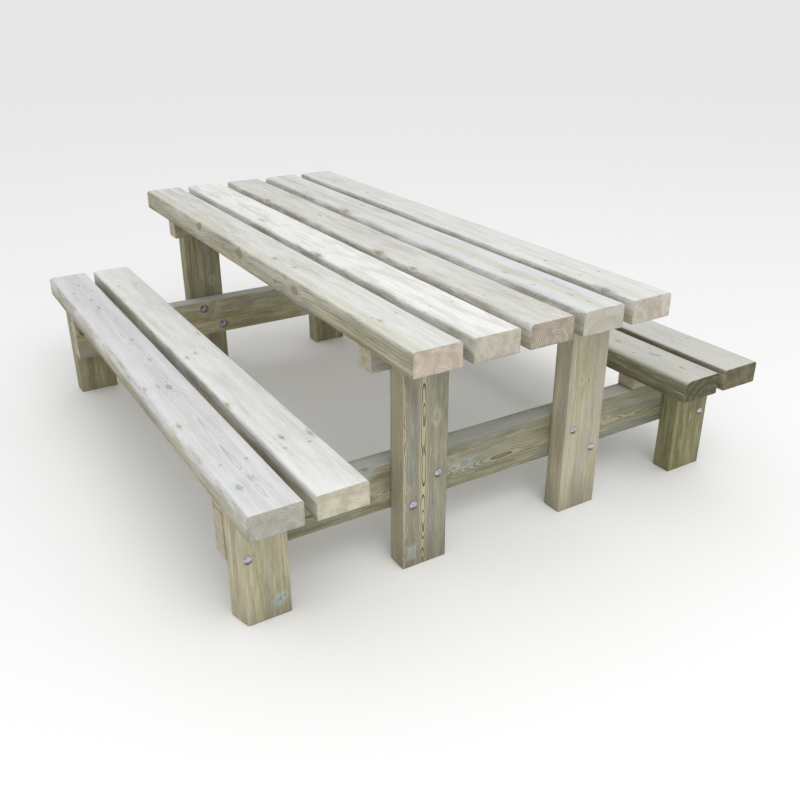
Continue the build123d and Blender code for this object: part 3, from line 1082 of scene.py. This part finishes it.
SEAT_WOODS = {
    "left_seat_board_outer": LEFT_OUTER_WOOD,
    "left_seat_board_inner": LEFT_INNER_WOOD,
    "right_seat_board_inner": RIGHT_INNER_WOOD_AND_SHADE,
    "right_seat_board_outer": RIGHT_OUTER_WOOD_AND_SHADE,
}


def leg_wood(**given):
    usual = dict(
        rounds=(3, 3, 3, 3), wane=(0.9, 0.9, 0.9, 0.9), bleach=0.5, grey=0.4, lines=0.22,
        pith=(10, -30), ring=4.0, whitest=(205, 204, 194), side_bleach=0.0,
    )
    return Wood(**{**usual, **given})


LEG_WOODS = {
    "front_left_table_leg": leg_wood(
        pith=(-6, -60), ring=2.7, lines=0.16, pale=(160, 156, 137), deep=(140, 137, 117),
        cool=(142, 144, 135), late=(74, 56, 30), streaks=0.8, scuff=(-46, -284, 17, 26),
        figures=(
            Figure(-7, 17, 1.0, (-7, 18), 2.6, 3.0, 12.0),
            Figure(-69, 7, 1.0, (-70, 24), 2.0, 2.2, 14.0),
        ),
        knots=(Knot(32, 130, 6, blue=0.4, dark=0.6), Knot(-62, -70, 3, dark=0.5)),
    ),
    "front_right_table_leg": leg_wood(
        pith=(6, -70), ring=6.0, wander=1.2, lines=0.16, pale=(188, 181, 158),
        deep=(170, 164, 138), cool=(170, 167, 150), streaks=0.5,
        knots=(Knot(-24, 116, 4, dark=0.5), Knot(4, 108, 4, dark=0.5)),
    ),
    "front_left_bench_leg": leg_wood(
        pith=(0, -60), ring=5.0, wander=1.4, lines=0.2, pale=(194, 188, 161),
        deep=(168, 162, 133), cool=(168, 168, 150), streaks=0.8, slant=19,
        knots=(
            Knot(33, -130, 4, blue=0.8, dark=1.0), Knot(43, -124, 4, blue=0.8, dark=1.0),
            Knot(54, -120, 3, blue=0.8, dark=0.9),
        ),
    ),
    "front_right_bench_leg": leg_wood(
        pith=(20, -60), ring=5.0, wander=1.4, lines=0.2, pale=(147, 146, 110),
        deep=(116, 115, 80), cool=(124, 130, 104), streaks=0.9,
    ),
}


def other_leg_wood(seed):
    """A leg that is in the shade of the table, with its own few knots."""
    draw = random.Random(seed)
    knots = [
        Knot(draw.uniform(-50, 50), draw.uniform(-140, 140), draw.uniform(3.5, 7),
             out=draw.choice((-1, 1)), dark=draw.uniform(0.4, 0.7))
        for _ in range(3)
    ]
    return leg_wood(
        pith=(draw.uniform(-30, 30), draw.uniform(-80, -20)), ring=draw.uniform(3.4, 5.4), knots=knots,
        wander=draw.uniform(1.2, 2.6), pale=(170, 165, 136), deep=(140, 135, 104),
        cool=(150, 151, 136),
    )


def rail_wood(**given):
    usual = dict(
        rounds=(3, 3, 3, 3), wane=(0.6, 0.6, 0.6, 0.6), bleach=0.66, grey=0.5, tan=0.1, lines=0.25,
        pith=(0, -30), ring=3.6, wander=3.0, whitest=(204, 205, 202), side_bleach=0.12,
        end=(184, 178, 154),
    )
    return Wood(**{**usual, **given})


RAIL_WOODS = {
    "front_cross_rail": rail_wood(
        pith=(-18, -6), late=(94, 86, 50),
        figures=(Figure(-14, 26, 0.9, (-16, 0), 2.4, 3.4, 5.5, cream=0.25),),
        pale=(142, 140, 109), deep=(114, 113, 81), cool=(122, 127, 114),
        knots=(
            Knot(72, -436, 7, down=8, blue=0.8, dark=0.9),
            Knot(-2, -106, 7, blue=0.7, dark=0.6), Knot(18, -150, 5, dark=0.4),
            Knot(-8, -142, 4, dark=0.5), Knot(0, 449, 5, dark=0.7), Knot(-32, -382, 5, dark=0.4),
            Knot(4, -410, 6, dark=0.4),
        ),
    ),
    "rear_cross_rail": rail_wood(
        pale=(188, 181, 148), deep=(162, 156, 122), cool=(166, 166, 148), bleach=0.95,
        knots=(Knot(30, -300, 9, out=-1, dark=0.5), Knot(-20, 120, 6, out=-1, dark=0.4)),
    ),
    "front_table_bearer": rail_wood(pith=(0, -20), knots=(Knot(0, 100, 5),)),
    "rear_table_bearer": rail_wood(pith=(10, 20), knots=(Knot(5, -140, 5),)),
}

SCREWS = {
    f"{end}_{kind}_screws": fastener_boxes(f"{end}_{kind}_screws", (0, 1))
    for end in ("front", "rear") for kind in ("tabletop", "seat")
}
BOLTS = {f"{end}_frame_bolts": fastener_boxes(f"{end}_frame_bolts", (0, 2)) for end in ("front", "rear")}

# Every timber as (node, kind, material slot, wood). A leg with no wood of its own gets a drawn one.
timbers = [
    (f"table_board_{number}", "board", "table_board_wood", wood)
    for number, wood in enumerate(TABLE_WOODS, start=1)
]
timbers += [(name, "board", "seat_board_wood", wood) for name, wood in SEAT_WOODS.items()]
for end in ("front", "rear"):
    for side in ("left", "right"):
        for leg in ("table_leg", "bench_leg"):
            name = f"{end}_{side}_{leg}"
            timbers.append((name, "leg", "leg_wood", LEG_WOODS.get(name)))
        timbers.append((f"{end}_{side}_seat_packer", "rail", "frame_wood", rail_wood(ring=5.0)))
timbers += [(name, "rail", "frame_wood", wood) for name, wood in RAIL_WOODS.items()]

seed = FIRST_SEED
for name, kind, slot, wood in timbers:
    build_timber(name, kind, wood or other_leg_wood(seed), seed)
    seed += SEED_STEP

bolt_zinc = zinc_material("bolt_zinc_plate", shade(212, 209, 219), shade(156, 153, 166), 0.14, 0.92)
screw_zinc = zinc_material("dusty_screw_zinc", shade(226, 226, 222), shade(204, 204, 202), 0.5, 0.25)
for end in ("front", "rear"):
    for kind in ("bolts", "washers", "nuts"):
        build_fasteners(f"{end}_frame_{kind}", (0, 2), bolt_zinc)
    for kind in ("tabletop", "seat"):
        build_fasteners(f"{end}_{kind}_screws", (0, 1), screw_zinc)


# ==== Floor, light and camera ====

FLOOR_RADIUS = 200.0
VIEW_TARGET = Vector((-0.0184, -0.3142, 0.2189))
VIEW_DISTANCE = 3.0
VIEW_HEADING = 31.43        # degrees from +Y towards +X
VIEW_ELEVATION = 25.41      # degrees above the horizon
LENS = 39.25                # millimetres on a 36 mm sensor
SOFTBOX_HEADING = 8
SOFTBOX_ELEVATION = 50
SOFTBOX_DISTANCE = 6.0
SOFTBOX_SIZE = 4.0
SOFTBOX_POWER = 108
SKY_STRENGTH = 0.83


def direction(heading, elevation):
    """Unit vector that looks down from an elevation along a heading, in degrees."""
    heading, elevation = math.radians(heading), math.radians(elevation)
    flat = math.cos(elevation)
    return Vector((math.sin(heading) * flat, math.cos(heading) * flat, -math.sin(elevation)))


def make_floor():
    bm = bmesh.new()
    bmesh.ops.create_circle(bm, cap_ends=True, segments=96, radius=FLOOR_RADIUS)
    floor = new_object("floor", bm)
    material = bpy.data.materials.new("pale_floor")
    material.use_nodes = True
    shader = material.node_tree.nodes["Principled BSDF"]
    shader.inputs["Base Color"].default_value = (0.96, 0.96, 0.96, 1)
    shader.inputs["Roughness"].default_value = 0.9
    shader.inputs["Specular IOR Level"].default_value = 0.1
    floor.data.materials.append(material)


def make_light():
    scene = bpy.context.scene
    world = bpy.data.worlds.new("studio")
    world.use_nodes = True
    background = world.node_tree.nodes["Background"]
    background.inputs["Color"].default_value = (1.0, 1.0, 1.0, 1)
    background.inputs["Strength"].default_value = SKY_STRENGTH
    scene.world = world
    softbox = bpy.data.lights.new("softbox", "AREA")
    softbox.shape = "DISK"
    softbox.size = SOFTBOX_SIZE
    softbox.energy = SOFTBOX_POWER
    lamp = link_object("softbox", softbox)
    shining = direction(SOFTBOX_HEADING, SOFTBOX_ELEVATION)
    lamp.location = Vector((0, 0, 0.4)) - SOFTBOX_DISTANCE * shining
    lamp.rotation_euler = shining.to_track_quat("-Z", "Y").to_euler()
    scene.view_settings.view_transform = "Standard"


def make_camera():
    camera = bpy.data.cameras.new("camera")
    camera.sensor_width = 36
    camera.lens = LENS
    camera.clip_end = 500
    looker = link_object("camera", camera)
    ahead = direction(VIEW_HEADING, VIEW_ELEVATION)
    looker.location = VIEW_TARGET - VIEW_DISTANCE * ahead
    looker.rotation_euler = ahead.to_track_quat("-Z", "Y").to_euler()
    bpy.context.scene.camera = looker


make_floor()
make_light()
make_camera()
